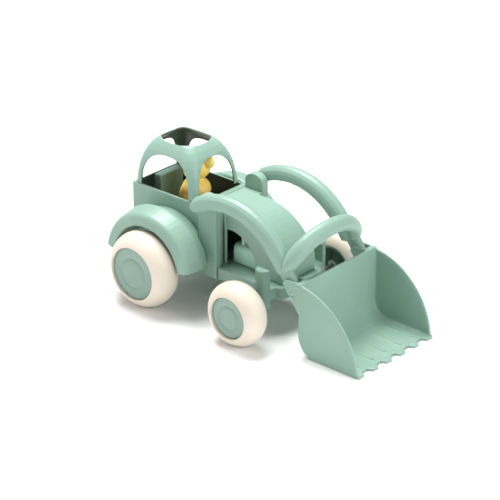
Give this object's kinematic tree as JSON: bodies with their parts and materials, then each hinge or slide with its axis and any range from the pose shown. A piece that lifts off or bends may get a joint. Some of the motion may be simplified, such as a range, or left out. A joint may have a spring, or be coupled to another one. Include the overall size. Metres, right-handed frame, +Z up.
{
  "type": "toy tractor with front loader",
  "caption": "Rounded plastic play tractor with an open domed cab, a figure inside, chunky free-turning wheels and a lifting front bucket with teeth and a carrying handle.",
  "frame": {"origin": "On the floor under the middle of the toy's overall length and width, with the wheels and the lowered bucket standing on Z = 0.", "axes": "+X forward towards the bucket, +Y the vehicle's left, +Z up."},
  "size_m": [0.2914, 0.1726, 0.1419],
  "materials": {
    "sage_plastic": "satin moulded, fine grain",
    "shaded_plastic": "satin moulded, in shade under the hood",
    "hub_plastic": "satin moulded",
    "tyre": "soft matt elastomer, cream",
    "driver": "satin moulded",
    "steel": "plain bright"
  },
  "bodies": {
    "body": {"chassis": "sage_plastic", "cab_tub": "sage_plastic", "hood_shell": "sage_plastic", "engine_block": "shaded_plastic", "seat": "sage_plastic", "driver": "driver", "cab_roof": "sage_plastic", "pivot_post_left": "sage_plastic", "pivot_post_right": "sage_plastic", "fender_left": "sage_plastic", "fender_right": "sage_plastic", "pivot_pin_left": "sage_plastic", "pivot_pin_right": "sage_plastic", "screw_1": "steel", "screw_2": "steel", "screw_3": "steel", "screw_4": "steel"},
    "loader": {"loader_arm_left": "sage_plastic", "loader_arm_right": "sage_plastic", "handle_bar": "sage_plastic", "hinge_pin_left": "sage_plastic", "hinge_pin_right": "sage_plastic"},
    "bucket": {"bucket": "sage_plastic"},
    "front_wheels": {"front_axle": "steel", "tyre_front_left": "tyre", "tyre_front_right": "tyre", "wheel_core_front_left": "hub_plastic", "wheel_core_front_right": "hub_plastic", "hub_cap_front_left": "hub_plastic", "hub_cap_front_right": "hub_plastic"},
    "rear_wheels": {"rear_axle": "steel", "tyre_rear_left": "tyre", "tyre_rear_right": "tyre", "wheel_core_rear_left": "hub_plastic", "wheel_core_rear_right": "hub_plastic", "hub_cap_rear_left": "hub_plastic", "hub_cap_rear_right": "hub_plastic"}
  },
  "joints": [
    {"name": "loader_lift", "type": "hinge", "parent": "body", "child": "loader", "pos_m": [-0.046, 0, 0.105], "axis": [0, -1, 0], "range_deg": [0, 50]},
    {"name": "bucket_tilt", "type": "hinge", "parent": "loader", "child": "bucket", "pos_m": [0.07, 0, 0.057], "axis": [0, -1, 0], "range_deg": [-40, 18]},
    {"name": "front_wheel_spin", "type": "hinge", "parent": "body", "child": "front_wheels", "pos_m": [0.024, 0, 0.03], "axis": [0, 1, 0], "continuous": true},
    {"name": "rear_wheel_spin", "type": "hinge", "parent": "body", "child": "rear_wheels", "pos_m": [-0.0914, 0, 0.0362], "axis": [0, 1, 0], "continuous": true}
  ]
}
